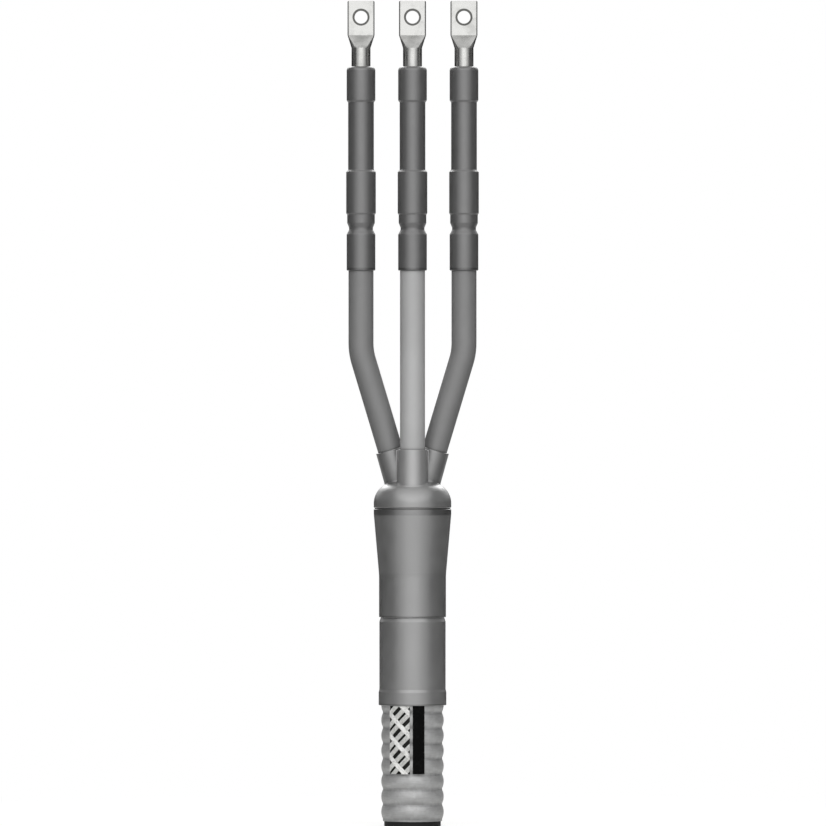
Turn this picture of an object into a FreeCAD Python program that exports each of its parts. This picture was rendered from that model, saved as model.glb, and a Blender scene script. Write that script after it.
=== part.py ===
"""Three-core medium-voltage cable termination, all sizes in millimetres.

A corrugated-armoured cable comes up from the floor. Its armour stops inside a sealing sleeve, its
jacket inside a breakout boot with three fingers. The three cores fan out of the fingers, each in
its own jacketing tube, and each ends in a rubber termination body and a crimped one-hole lug.

Z is up, the cable's axis is the Z axis and its cut end stands on Z = 0. The three lugs stand in one
row along X and their palms face Y. Heights are built up from the cut end, radii from the conductor.
"""
import FreeCAD
import Part
import math
import os

# Cable core, from the middle outwards
conductor_d = 11.6
conductor_screen_t = 0.7
insulation_t = 3.4
insulation_screen_t = 0.8
copper_tape_t = 0.3

# Cable round the three laid-up cores
core_clearance = 0.2
filler_clearance = 0.05
rope_count = 3
binder_clearance = 0.08
binder_t = 0.4
inner_jacket_t = 4.0
armour_clearance = 0.5
armour_t = 0.8
armour_depth = 1.65
armour_pitch = 15.27
armour_waves = 8
armour_valley_radius = 3.5
armour_lip = 1.5
armour_foot = 5.2

# Ground braid and bonding lead, lying down the front of the armour
strap_t = 1.1
braid_width = 22.0
lead_width = 11.8
strap_gap = 3.0
lead_edge_angle = 0.5
strap_drop = 68.0
braid_wall_t = 0.4
braid_sink = 0.25
braid_tow_width = 4.2
braid_tow_angle = 45.0
braid_period = 21.4
braid_first = 2.9
braid_crossings = [0.0, 0.55]
lead_skin_t = 0.3
lead_recess = 1.0
strap_dip = 5.0
roll_spring_t = 0.4
armour_spring_width = 6.0
screen_spring_t = 0.9
screen_spring_width = 16.0

# Sealing sleeve and what lies under it
sleeve_grip = 9.4
sleeve_exposed = 88.0
sleeve_tuck = 31.0
mouth_length = 13.0
mouth_wall = 1.05
mouth_clearance = 0.05
shoulder_length = 3.0
shoulder_round = 3.0
sleeve_wall = 2.0
buildup_t = 2.8
neck_length = 4.0
neck_clearance = 0.5
tuck_wall = 1.8
jacket_mastic_t = 1.65
mastic_inset = 1.0
mouth_mastic_inset = 3.0
putty_clearance = 0.1

# Breakout boot
collar_wall = 1.7
collar_length = 42.0
socket_clearance = 0.3
jacket_cover = 6.0
flare_length = 61.0
flare_round = 60.0
belly_swell = 5.3
belly_round = 30.0
rim_height = 6.0
boot_wall = 3.0
crease_depth = 0.9
crease_width = 1.4
dome_rise = 23.5
dome_corner_radius = 21.0
crown_rise = 3.0
crown_radius = 13.0
finger_wall = 2.2
finger_tip_share = 1 / 3
finger_root_extra = 1.0
finger_root_depth = 12.0
finger_bore_depth = 4.0
finger_length = 37.5
web_fillet = 2.0

# Fanned-out legs
leg_pitch = 51.5
fan_rise = 21.0
fan_height = 135.0
front_step = 2.4
back_step = 1.6
spread_length = 27.0
bend_radius = 60.0
middle_lean_start = 15.5
middle_bend_radius = 100.0
leg_straight = 81.5
core_tube_wall = 1.5

# Termination bodies, from the bottom up
skirt_length = 36.0
skirt_wall = 1.85
waist_length = 11.5
waist_wall = 0.9
waist_flat = 2.0
shoulder_height = 9.0
shoulder_wall = 2.8
stress_zone = 42.0
stress_tube_t = 2.0
stress_tube_lip = 0.8
stress_tube_tail = 0.5
stress_wall = 2.9
shank_length = 69.5
shank_wall = 2.95
cap_length = 36.0
cap_mastic_t = 2.1
cap_wall = 2.75
cap_corner_radius = 4.2
body_step = 2.2
body_round = 0.8
waist_round = 1.5
tube_insertion = 32.5
stress_overlap = 2.0
screen_cutback = 12.0
stress_mastic_t = 1.2
stress_mastic_reach = 7.0
knife_bevel = 1.5

# Lugs
barrel_d = 19.0
barrel_exposed = 18.5
barrel_covered = 33.5
insulation_to_lug = 5.0
lug_taper = 13.0
palm_width = 27.0
palm_t = 5.5
palm_length = 34.5
palm_corner_radius = 1.5
hole_d = 13.0
hole_from_tip = 16.4
bore_end_wall = 4.0
crimp_flats = 17.6
crimp_width = 9.0
crimp_gap = 4.0
crimp_first = 5.0
crimp_sides = 6
press_angle = 38.0

# Rounded edges, and how far a cutting shape runs past what it cuts
edge_round = 0.5
overshoot = 1.0

# How near two points, or two directions, lie when they count as the same
same_point = 1e-6
same_direction = 1e-3

# Radii that follow from the sizes above
conductor_r = conductor_d / 2
conductor_screen_r = conductor_r + conductor_screen_t
insulation_r = conductor_screen_r + insulation_t
insulation_screen_r = insulation_r + insulation_screen_t
core_r = insulation_screen_r + copper_tape_t
lay_r = (2 * core_r + core_clearance) / math.sqrt(3)
binder_r = lay_r + core_r + binder_clearance
jacket_in_r = binder_r + binder_t
jacket_r = jacket_in_r + inner_jacket_t
valley_r = jacket_r + armour_clearance + armour_t
peak_r = valley_r + armour_depth
strap_r = peak_r + strap_t
mouth_in_r = strap_r + roll_spring_t + mouth_clearance
mouth_r = mouth_in_r + mouth_wall
sleeve_in_r = jacket_r + buildup_t
sleeve_r = sleeve_in_r + sleeve_wall
tuck_in_r = jacket_r + jacket_mastic_t
tuck_r = tuck_in_r + tuck_wall
collar_r = tuck_r + collar_wall
belly_r = collar_r + belly_swell
tube_r = core_r + core_tube_wall
finger_r = tube_r + finger_wall
stress_tube_r = insulation_r + stress_tube_t
barrel_r = barrel_d / 2
cap_mastic_r = barrel_r + cap_mastic_t

# Heights that follow from the sizes above
armour_end = armour_foot + armour_waves * armour_pitch + 2 * armour_lip
mouth_z = armour_end - sleeve_grip
mouth_top = mouth_z + mouth_length
shoulder_top = mouth_top + shoulder_length
strap_end = mouth_z - strap_drop
collar_z = mouth_z + sleeve_exposed
neck_top = collar_z - neck_clearance
neck_z = neck_top - neck_length
tuck_top = collar_z + sleeve_tuck
flare_z = collar_z + collar_length
jacket_top = flare_z + jacket_cover
rim_z = flare_z + flare_length
crease_z = rim_z + rim_height
dome_z = crease_z + dome_rise
crown_z = dome_z + crown_rise
fan_z = crease_z + fan_rise
finger_top = fan_z + finger_length
elbow_z = fan_z + fan_height
skirt_z = elbow_z + leg_straight
waist_z = skirt_z + skirt_length
shoulder_z = waist_z + waist_length
stress_z = shoulder_z + shoulder_height
shank_z = stress_z + stress_zone
cap_z = shank_z + shank_length
body_top = cap_z + cap_length
taper_z = body_top + barrel_exposed
palm_z = taper_z + lug_taper
palm_top = palm_z + palm_length
barrel_z = body_top - barrel_covered
insulation_top = barrel_z - insulation_to_lug
tube_top = skirt_z + tube_insertion
tape_top = shoulder_z + stress_overlap
stress_tube_z = tape_top + stress_overlap
screen_top = stress_tube_z + screen_cutback
stress_tube_top = shank_z + stress_overlap

UP = FreeCAD.Vector(0, 0, 1)
ALONG_X = FreeCAD.Vector(1, 0, 0)
ALONG_Y = FreeCAD.Vector(0, 1, 0)
ORIGIN = FreeCAD.Vector(0, 0, 0)
SIDES = {"left": -1, "middle": 0, "right": 1}


def rounded_edges(corners, closed):
    """Straight runs joined by tangent arcs, through corners given as (point, radius)."""
    count = len(corners)
    passes = []
    for i, (point, radius) in enumerate(corners):
        at_end = not closed and i in (0, count - 1)
        if at_end or radius == 0:
            passes.append((point, None, point))
            continue
        back = (corners[i - 1][0] - point).normalize()
        on = (corners[(i + 1) % count][0] - point).normalize()
        half = back.getAngle(on) / 2
        reach = radius / math.tan(half)
        inwards = (back + on).normalize()
        middle = point + inwards * (radius / math.sin(half) - radius)
        passes.append((point + back * reach, middle, point + on * reach))
    edges = []
    for i, (start, middle, end) in enumerate(passes):
        if middle is not None:
            edges.append(Part.Arc(start, middle, end).toShape())
        if i == count - 1 and not closed:
            break
        following = passes[(i + 1) % count][0]
        if end.distanceToPoint(following) > same_point:
            edges.append(Part.LineSegment(end, following).toShape())
    return edges


def closed_face(corners):
    """A flat face inside corners given as (point, radius)."""
    return Part.Face(Part.Wire(rounded_edges(corners, True)))


def turned(outline, angle=360.0):
    """A solid turned about Z from an outline of (radius, height) or (radius, height, corner radius)."""
    corners = [(FreeCAD.Vector(p[0], 0, p[1]), p[2] if len(p) > 2 else 0) for p in outline]
    return closed_face(corners).revolve(ORIGIN, UP, angle)


def ring(inner, outer, low, high):
    """A plain tube about Z."""
    return turned([(inner, low), (outer, low), (outer, high), (inner, high)])


def moved(shape, x, y):
    """A copy of the shape, shifted sideways."""
    copy = shape.copy()
    copy.translate(FreeCAD.Vector(x, y, 0))
    return copy


def cut_all(shape, tools):
    """The shape with every tool taken out of it."""
    for tool in tools:
        shape = shape.cut(tool)
    return shape


def turned_to(shape, angle):
    """A copy of the shape turned about Z, from the front (-Y) towards +X for a positive angle."""
    copy = shape.copy()
    copy.rotate(ORIGIN, UP, angle - 90.0)
    return copy


def save(name, shape):
    """Writes one node, after checking that it is made of sound closed solids."""
    solids = shape.Solids
    if not solids or not all(s.isValid() and s.Volume > 0 for s in solids):
        raise ValueError("unsound solid in " + name)
    result = solids[0] if len(solids) == 1 else Part.makeCompound(solids)
    result.exportStep("parts/" + name + ".step")
    return result


def leg_corners(side):
    """The corners of a core's centre line from the cut end to its elbow, as (point, bend radius)."""
    if side == 0:
        lean_z = finger_top + middle_lean_start
        front_y = -lay_r - front_step
        return [
            (FreeCAD.Vector(0, -lay_r, 0), 0),
            (FreeCAD.Vector(0, -lay_r, fan_z - spread_length), middle_bend_radius),
            (FreeCAD.Vector(0, front_y, fan_z), middle_bend_radius),
            (FreeCAD.Vector(0, front_y, lean_z), middle_bend_radius),
            (FreeCAD.Vector(0, 0, elbow_z), middle_bend_radius),
        ]
    lay_x = side * lay_r * math.cos(math.radians(30))
    lay_y = lay_r * math.sin(math.radians(30))
    return [
        (FreeCAD.Vector(lay_x, lay_y, 0), 0),
        (FreeCAD.Vector(lay_x, lay_y, fan_z - spread_length), middle_bend_radius),
        (FreeCAD.Vector(lay_x, lay_y + back_step, fan_z), bend_radius),
        (FreeCAD.Vector(side * leg_pitch, 0, elbow_z), bend_radius),
    ]


def finger_axis(side):
    """Where a finger's axis crosses the fan height, and its direction."""
    corners = leg_corners(side)
    if side == 0:
        return corners[2][0], UP
    root = corners[2][0]
    return root, (corners[3][0] - root).normalize()


def along_finger(side, height):
    """The point of a finger's axis at a height."""
    root, direction = finger_axis(side)
    return root + direction * ((height - root.z) / direction.z)


def finger_foot_height():
    """The height above the fan at which the outer legs have finished their first bend."""
    _, direction = finger_axis(1)
    half_turn = direction.getAngle(UP) / 2
    return fan_z + bend_radius * math.tan(half_turn) + mastic_inset


def swept(corners, radius):
    """A round bar whose centre line runs through the corners."""
    path = Part.Wire(rounded_edges(corners, False))
    start = corners[0][0]
    direction = corners[1][0] - start
    section = Part.Wire(Part.makeCircle(radius, start, direction))
    return Part.Solid(path.makePipeShell([section], True, False))


def core_bar(side, radius, top):
    """A bar along a core's whole route, from the cut end to a height on its straight top."""
    end = (FreeCAD.Vector(side * leg_pitch, 0, top), 0)
    return swept(leg_corners(side) + [end], radius)


def core_layer(side, inner, outer, top):
    """One layer of a core, from the cut end to a height on its straight top."""
    return core_bar(side, outer, top).cut(core_bar(side, inner, top + overshoot))


def bevel_ring(outer, top, drop):
    """What a knife takes off the top edge of a layer, to leave a bevel."""
    return turned([
        (outer - drop, top),
        (outer + overshoot, top - drop - overshoot),
        (outer + overshoot, top + overshoot),
        (outer - drop, top + overshoot),
    ])


def insulation(side):
    """The core's insulation, bevelled where it ends below the lug."""
    layer = core_layer(side, conductor_screen_r, insulation_r, insulation_top)
    return layer.cut(moved(bevel_ring(insulation_r, insulation_top, knife_bevel), side * leg_pitch, 0))


def insulation_screen(side):
    """The conducting layer over the insulation, shaved to a feather edge where it ends."""
    layer = core_layer(side, insulation_r, insulation_screen_r, screen_top)
    edge = bevel_ring(insulation_screen_r, screen_top, insulation_screen_t)
    return layer.cut(moved(edge, side * leg_pitch, 0))


def core_tube(side):
    """The jacketing tube, from inside its finger to inside the termination body."""
    foot = along_finger(side, finger_foot_height())
    upper = [c for c in leg_corners(side) if c[0].z > foot.z]
    corners = [(foot, 0)] + upper + [(FreeCAD.Vector(side * leg_pitch, 0, tube_top), 0)]
    longer = [(foot - finger_axis(side)[1] * overshoot, 0)] + upper
    longer.append((FreeCAD.Vector(side * leg_pitch, 0, tube_top + overshoot), 0))
    return swept(corners, tube_r).cut(swept(longer, core_r))


def stress_mastic():
    """The ring of mastic that fills the step at the end of the conducting layer."""
    outer = insulation_r + stress_mastic_t
    low = screen_top - stress_mastic_reach
    high = screen_top + stress_mastic_reach
    return turned([
        (insulation_screen_r, low),
        (outer, low + stress_mastic_reach / 2),
        (outer, high - stress_mastic_reach / 2),
        (insulation_r, high),
        (insulation_r, screen_top),
        (insulation_screen_r, screen_top - insulation_screen_t),
    ])


def stress_tube():
    """The stress-control tube over the end of the conducting layer."""
    body = turned([
        (insulation_r, stress_tube_z),
        (stress_tube_r - stress_tube_lip, stress_tube_z),
        (stress_tube_r, stress_tube_z + body_step),
        (stress_tube_r, stress_tube_top - body_step),
        (insulation_r + stress_tube_tail, stress_tube_top),
        (insulation_r, stress_tube_top),
    ])
    screen_under = turned([
        (insulation_r - overshoot, stress_tube_z - overshoot),
        (insulation_screen_r, stress_tube_z - overshoot),
        (insulation_screen_r, screen_top - insulation_screen_t),
        (insulation_r, screen_top),
        (insulation_r - overshoot, screen_top),
    ])
    return cut_all(body, [screen_under, stress_mastic()])


def termination_body():
    """The rubber body: skirt, waist, shoulder, stress zone, shank and cap, over a stepped bore."""
    skirt_r = tube_r + skirt_wall
    waist_r = core_r + waist_wall
    shoulder_r = core_r + shoulder_wall
    stress_r = stress_tube_r + stress_wall
    shank_r = insulation_r + shank_wall
    cap_r = cap_mastic_r + cap_wall
    middle = waist_z + waist_length / 2
    outside = [
        (skirt_r, skirt_z, body_round),
        (skirt_r, waist_z, waist_round),
        (waist_r, middle - waist_flat / 2, waist_round),
        (waist_r, middle + waist_flat / 2, waist_round),
        (shoulder_r, shoulder_z, waist_round),
        (shoulder_r, stress_z - body_round, body_round),
        (stress_r, stress_z + body_round, body_round),
        (stress_r, shank_z, body_round),
        (shank_r, shank_z + body_step, body_round),
        (shank_r, cap_z, body_round),
        (cap_r, cap_z + body_step, body_round),
        (cap_r, body_top, cap_corner_radius),
    ]
    inside = [
        (barrel_r, body_top, edge_round),
        (barrel_r, body_top - body_step),
        (cap_mastic_r, body_top - cap_corner_radius - body_step),
        (cap_mastic_r, cap_z),
        (insulation_r, cap_z - 2 * body_step),
        (insulation_r, stress_tube_top),
        (insulation_r + stress_tube_tail, stress_tube_top),
        (stress_tube_r, stress_tube_top - body_step),
        (stress_tube_r, stress_tube_z + body_step),
        (stress_tube_r - stress_tube_lip, stress_tube_z),
        (core_r, tape_top),
        (core_r, tube_top + body_step),
        (tube_r, tube_top),
        (tube_r, skirt_z),
    ]
    return turned(outside + inside)


def lug():
    """A crimp lug pressed from tube: round barrel, flattened palm with one bolt hole."""
    barrel = Part.makeCylinder(barrel_r, taper_z - barrel_z, FreeCAD.Vector(0, 0, barrel_z))
    for number in range(2):
        low = barrel_z + crimp_first + number * (crimp_width + crimp_gap)
        barrel = barrel.cut(crimp_cutter(low))
    palm_back = barrel_r
    palm_front = palm_back - palm_t
    palm = palm_plate(palm_front)
    transition = Part.makeLoft([barrel_outline(), palm_outline(palm_front)], True, True)
    body = barrel.fuse(transition).fuse(palm).removeSplitter()
    bore_start = FreeCAD.Vector(0, 0, barrel_z - overshoot)
    bore = Part.makeCylinder(conductor_r, taper_z - bore_end_wall - bore_start.z, bore_start)
    hole_start = FreeCAD.Vector(0, palm_front - overshoot, palm_top - hole_from_tip)
    hole = Part.makeCylinder(hole_d / 2, palm_t + 2 * overshoot, hole_start, ALONG_Y)
    return body.cut(bore).cut(hole)


def crimp_cutter(low):
    """What a six-sided crimping die presses away from the barrel over one band."""
    corners = []
    turn = 2 * math.pi / crimp_sides
    corner_r = crimp_flats / 2 / math.cos(turn / 2)
    for number in range(crimp_sides):
        angle = turn * number
        corners.append((FreeCAD.Vector(corner_r * math.cos(angle), corner_r * math.sin(angle), low), 0))
    prism = closed_face(corners).extrude(UP * crimp_width)
    return ring(conductor_r, barrel_r + overshoot, low, low + crimp_width).cut(prism)


def barrel_outline():
    """The barrel's round end, split into eight arcs that face the palm's sides and corners."""
    centre = FreeCAD.Vector(0, 0, taper_z)
    edges = []
    for facing in range(0, 360, 90):
        side_end = facing + press_angle
        corner_end = facing + 90 - press_angle
        edges.append(Part.makeCircle(barrel_r, centre, UP, facing - press_angle, side_end))
        edges.append(Part.makeCircle(barrel_r, centre, UP, side_end, corner_end))
    return Part.Wire(edges)


def palm_outline(palm_front):
    """The palm's section, a bar with rounded corners, at the height where the taper meets it."""
    half = palm_width / 2
    back = palm_front + palm_t
    corners = [(half, palm_front), (half, back), (-half, back), (-half, palm_front)]
    points = [(FreeCAD.Vector(x, y, palm_z), palm_corner_radius) for x, y in corners]
    edges = rounded_edges(points, True)
    return Part.Wire(edges[1:] + edges[:1])


def palm_plate(palm_front):
    """The flat palm, its outline rounded at the two top corners."""
    half = palm_width / 2
    plate = Part.Face(palm_outline(palm_front)).extrude(UP * palm_length)
    silhouette = [
        (FreeCAD.Vector(-half, palm_front, palm_z), 0),
        (FreeCAD.Vector(half, palm_front, palm_z), 0),
        (FreeCAD.Vector(half, palm_front, palm_top), palm_corner_radius),
        (FreeCAD.Vector(-half, palm_front, palm_top), palm_corner_radius),
    ]
    return plate.common(closed_face(silhouette).extrude(ALONG_Y * palm_t))


def lug_mastic():
    """The mastic wound over the end of the insulation and the lug's barrel."""
    outer = turned([
        (0, cap_z - 2 * body_step),
        (insulation_r, cap_z - 2 * body_step),
        (cap_mastic_r, cap_z),
        (cap_mastic_r, body_top - cap_corner_radius - body_step),
        (barrel_r, body_top - body_step),
        (0, body_top - body_step),
    ])
    insulation_end = turned([
        (0, shank_z),
        (insulation_r, shank_z),
        (insulation_r, insulation_top - knife_bevel),
        (insulation_r - knife_bevel, insulation_top),
        (0, insulation_top),
    ])
    conductor = Part.makeCylinder(conductor_r, taper_z - shank_z, FreeCAD.Vector(0, 0, shank_z))
    return cut_all(outer, [insulation_end, conductor, lug()])


def armour_profile(offset, low_edge, high_edge):
    """Corrugation arcs at an offset inside the armour's outer face, from one cut edge to the other."""
    slope = 2 * math.atan(armour_depth / (armour_pitch / 2))
    both = armour_pitch / 2 / math.sin(slope)
    crest = both - armour_valley_radius
    rise = math.sin(slope)
    fall = 1 - math.cos(slope)
    first = low_edge + armour_lip
    last = first + armour_waves * armour_pitch
    valley_arc = armour_valley_radius + offset
    crest_arc = crest - offset
    bottom = valley_r - offset
    top = peak_r - offset
    edges = []

    def point(r, z):
        return FreeCAD.Vector(r, 0, z)

    edges.append(Part.LineSegment(point(bottom, low_edge), point(bottom, first)).toShape())
    for number in range(armour_waves):
        valley = first + number * armour_pitch
        peak = valley + armour_pitch / 2
        up_end = point(bottom + valley_arc * fall, valley + valley_arc * rise)
        down_start = point(bottom + valley_arc * fall, valley + armour_pitch - valley_arc * rise)
        half = slope / 2
        up_mid = point(bottom + valley_arc * (1 - math.cos(half)), valley + valley_arc * math.sin(half))
        down_mid = point(up_mid.x, valley + armour_pitch - valley_arc * math.sin(half))
        edges.append(Part.Arc(point(bottom, valley), up_mid, up_end).toShape())
        edges.append(Part.Arc(up_end, point(top, peak), down_start).toShape())
        edges.append(Part.Arc(down_start, down_mid, point(bottom, valley + armour_pitch)).toShape())
    edges.append(Part.LineSegment(point(bottom, last), point(bottom, high_edge)).toShape())
    return edges


def armour():
    """The corrugated metal armour."""
    outer = armour_profile(0, armour_foot, armour_end)
    inner = armour_profile(armour_t, armour_foot, armour_end)
    ends = []
    for z in (armour_foot, armour_end):
        start = FreeCAD.Vector(valley_r - armour_t, 0, z)
        ends.append(Part.LineSegment(start, FreeCAD.Vector(valley_r, 0, z)).toShape())
    wire = Part.Wire(Part.__sortEdges__(outer + inner + ends))
    return Part.Face(wire).revolve(ORIGIN, UP, 360)


def armour_space():
    """The armour and all that is inside it, to cut its neighbours with."""
    outer = armour_profile(0, armour_foot, armour_end)
    low = FreeCAD.Vector(0, 0, armour_foot)
    high = FreeCAD.Vector(0, 0, armour_end)
    closing = [
        Part.LineSegment(low, FreeCAD.Vector(valley_r, 0, armour_foot)).toShape(),
        Part.LineSegment(low, high).toShape(),
        Part.LineSegment(high, FreeCAD.Vector(valley_r, 0, armour_end)).toShape(),
    ]
    wire = Part.Wire(Part.__sortEdges__(outer + closing))
    return Part.Face(wire).revolve(ORIGIN, UP, 360)


def strap_angle(width):
    """The angle round the armour that a strap of this width covers."""
    return math.degrees(width / (peak_r + strap_t / 2))


def lead_angles():
    """Start and end angle of the bonding lead, from the front towards +X."""
    return lead_edge_angle, lead_edge_angle + strap_angle(lead_width)


def braid_angles():
    """Start and end angle of the ground braid, on the other side of a gap."""
    end = lead_edge_angle - strap_angle(strap_gap)
    return end - strap_angle(braid_width), end


def strap(angles, stations, thickness):
    """A flat strap that follows stations of (radius, height) and covers the angles given."""
    inner = [(r, z) for r, z in stations]
    outer = [(r + thickness, z) for r, z in reversed(stations)]
    return turned_to(turned(inner + outer, angles[1] - angles[0]), angles[0])


def braid_stations():
    """The underside of the ground braid, from the sleeve's mouth over the jacket to the cores."""
    over_cores = binder_r + mouth_clearance
    return [
        (peak_r, mouth_z),
        (peak_r, armour_end + mastic_inset),
        (jacket_r, armour_end + mastic_inset + strap_dip),
        (jacket_r, jacket_top + mastic_inset),
        (over_cores, jacket_top + mastic_inset + 2 * strap_dip),
        (over_cores, screen_spring_z() + screen_spring_width + mastic_inset),
    ]


def screen_spring_z():
    """The foot of the roll spring that clamps the braid to the cores' copper tape."""
    return jacket_top + 2 * mastic_inset + 2 * strap_dip


def braid_tow(tilt, top_r):
    """One diagonal tow, lying across the armour at the height zero."""
    depth = 2 * braid_tow_width
    slab = Part.makeBox(depth, 2 * braid_width, braid_tow_width)
    slab.translate(FreeCAD.Vector(top_r + overshoot - depth, -braid_width, -braid_tow_width / 2))
    slab.rotate(ORIGIN, ALONG_X, tilt)
    return slab.common(ring(peak_r, top_r, -braid_width, braid_width))


def ground_braid():
    """The flat ground braid, plaited where it shows below the sleeve."""
    start, end = braid_angles()
    plain = strap((start, end), braid_stations(), strap_t)
    wall = strap((start, end), [(peak_r, strap_end), (peak_r, mouth_z)], braid_wall_t)
    window = strap((start, end), [(peak_r, strap_end), (peak_r, mouth_z)], strap_t)
    over = braid_tow(-braid_tow_angle, peak_r + strap_t)
    under = braid_tow(braid_tow_angle, peak_r + strap_t - braid_sink)
    tows = []
    for number in range(math.ceil(strap_drop / braid_period) + 1):
        z = mouth_z + braid_first - number * braid_period
        tows.append(placed_tow(over, z, window))
        for crossing in braid_crossings:
            tows.append(placed_tow(under, z - crossing * braid_period, window))
    tows = [t for t in tows if t.Volume > 0]
    return plain.multiFuse([wall] + tows).removeSplitter()


def placed_tow(tow, z, window):
    """A copy of a tow at a height in the middle of the braid, cut off at the braid's edges."""
    start, end = braid_angles()
    copy = turned_to(tow, (start + end) / 2)
    copy.translate(UP * z)
    return copy.common(window)


def lead_braid():
    """The bonding lead's own flat braid, bare where the roll spring clamps it to the armour."""
    low = strap_end + lead_recess
    start, end = lead_angles()
    margin = math.degrees(lead_skin_t / peak_r)
    stations = [(peak_r + lead_skin_t, low), (peak_r + lead_skin_t, armour_end)]
    return strap((start + margin, end - margin), stations, strap_t - 2 * lead_skin_t)


def lead_skin():
    """The black insulating skin over the bonding lead, down to its square-cut end."""
    start, end = lead_angles()
    top = mouth_z + mouth_mastic_inset
    outside = strap((start, end), [(peak_r, strap_end), (peak_r, top)], strap_t)
    margin = math.degrees(lead_skin_t / peak_r)
    inside_r = peak_r + lead_skin_t
    stations = [(inside_r, strap_end - overshoot), (inside_r, top + overshoot)]
    return outside.cut(strap((start + margin, end - margin), stations, strap_t - 2 * lead_skin_t))


def armour_spring(clearance=0.0):
    """The roll spring that clamps both straps to the armour, inside the sleeve's mouth."""
    low = armour_end - mastic_inset - armour_spring_width
    high = low + armour_spring_width
    return ring(strap_r - clearance, strap_r + roll_spring_t + clearance, low - clearance, high + clearance)


def screen_spring(clearance=0.0):
    """The roll spring that clamps the ground braid round the three cores."""
    inner = binder_r + mouth_clearance + strap_t
    low = screen_spring_z()
    high = low + screen_spring_width
    return ring(inner - clearance, inner + screen_spring_t + clearance, low - clearance, high + clearance)


def sealing_sleeve():
    """The sealing sleeve: a flared mouth on the armour, a straight run, a neck under the boot."""
    return turned([
        (mouth_in_r, mouth_z),
        (mouth_r, mouth_z, edge_round),
        (mouth_r, mouth_top, shoulder_round),
        (sleeve_r, shoulder_top, shoulder_round),
        (sleeve_r, neck_z, edge_round),
        (tuck_r, neck_top, edge_round),
        (tuck_r, tuck_top, edge_round),
        (tuck_in_r, tuck_top),
        (tuck_in_r, neck_top),
        (sleeve_in_r, neck_z),
        (sleeve_in_r, shoulder_top),
        (mouth_in_r, mouth_top),
    ])


def mouth_mastic(straps):
    """The sealing mastic packed between the armour, the straps and the sleeve's mouth."""
    space = turned([
        (jacket_r, mouth_z + mouth_mastic_inset),
        (mouth_in_r, mouth_z + mouth_mastic_inset),
        (mouth_in_r, mouth_top),
        (sleeve_in_r, shoulder_top),
        (jacket_r, shoulder_top),
    ])
    return cut_all(space, [armour_space(), armour_spring(putty_clearance)] + straps)


def buildup_tape(braid):
    """The tape wound up to the armour's size over the jacket, under the sleeve."""
    wound = turned([
        (jacket_r, shoulder_top),
        (sleeve_in_r, shoulder_top),
        (sleeve_in_r, neck_z),
        (tuck_in_r, neck_top),
        (jacket_r, neck_top),
    ])
    return wound.cut(braid)


def jacket_mastic(braid):
    """The mastic wound on the jacket, under the sleeve's end and the boot's collar."""
    return ring(jacket_r, tuck_in_r, neck_top, jacket_top).cut(braid)


def boot_cavity():
    """The space inside the boot's body, without its fingers."""
    return turned([
        (0, collar_z - overshoot),
        (tuck_r, collar_z - overshoot),
        (tuck_r, tuck_top + socket_clearance),
        (tuck_in_r, tuck_top + socket_clearance + body_step),
        (tuck_in_r, jacket_top),
        (belly_r - boot_wall, rim_z, belly_round),
        (belly_r - boot_wall, dome_z - boot_wall, dome_corner_radius - boot_wall),
        (0, dome_z - boot_wall),
    ])


def finger_cavity(side, high):
    """The bore of one finger, from inside the dome up to a height."""
    low_point = along_finger(side, fan_z - finger_bore_depth)
    high_point = along_finger(side, high)
    direction = high_point - low_point
    return Part.makeCylinder(tube_r, direction.Length, low_point, direction)


def finger(side):
    """The outside of one finger, a slim cone with a rounded tip."""
    low_point = along_finger(side, fan_z - finger_root_depth)
    high_point = along_finger(side, finger_top)
    direction = high_point - low_point
    root_r = finger_r + finger_root_extra
    cone = Part.makeCone(root_r, finger_r, direction.Length, low_point, direction)
    rings = [edge for edge in cone.Edges if edge.isClosed()]
    tip = [edge for edge in rings if edge.CenterOfMass.distanceToPoint(high_point) < edge_round]
    return cone.makeFillet(finger_wall * finger_tip_share, tip)


def breakout_boot():
    """The breakout boot: collar, flared body, rim crease, dome and three fingers, one moulding."""
    body = turned([
        (0, collar_z),
        (collar_r, collar_z, edge_round),
        (collar_r, flare_z, flare_round),
        (belly_r, rim_z, belly_round),
        (belly_r, crease_z - crease_width),
        (belly_r - crease_depth, crease_z - crease_width / 2),
        (belly_r - crease_depth, crease_z),
        (belly_r, crease_z + crease_depth, edge_round),
        (belly_r, dome_z, dome_corner_radius),
        (crown_radius, crown_z),
        (0, dome_z),
    ])
    outside = body.multiFuse([finger(side) for side in SIDES.values()]).removeSplitter()
    outside = fillet_webs(outside)
    cavities = [boot_cavity()] + [finger_cavity(side, finger_top + overshoot) for side in SIDES.values()]
    return cut_all(outside, cavities)


def fillet_webs(outside):
    """The boot with the creases between its fingers and the dome rounded."""
    webs = []
    for edge in outside.Edges:
        middle = edge.CenterOfMass
        high = dome_z - dome_corner_radius < middle.z < finger_top - finger_wall
        if high and len(outside.ancestorsOfType(edge, Part.Face)) == 2:
            faces = outside.ancestorsOfType(edge, Part.Face)
            if not faces[0].isSame(faces[1]) and not smooth_edge(edge, faces):
                webs.append(edge)
    return outside.makeFillet(web_fillet, webs)


def smooth_edge(edge, faces):
    """Whether two faces meet along an edge without a corner."""
    point = edge.valueAt((edge.FirstParameter + edge.LastParameter) / 2)
    normals = []
    for face in faces:
        u, v = face.Surface.parameter(point)
        normals.append(face.normalAt(u, v))
    return abs(abs(normals[0].dot(normals[1])) - 1) < same_direction


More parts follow.
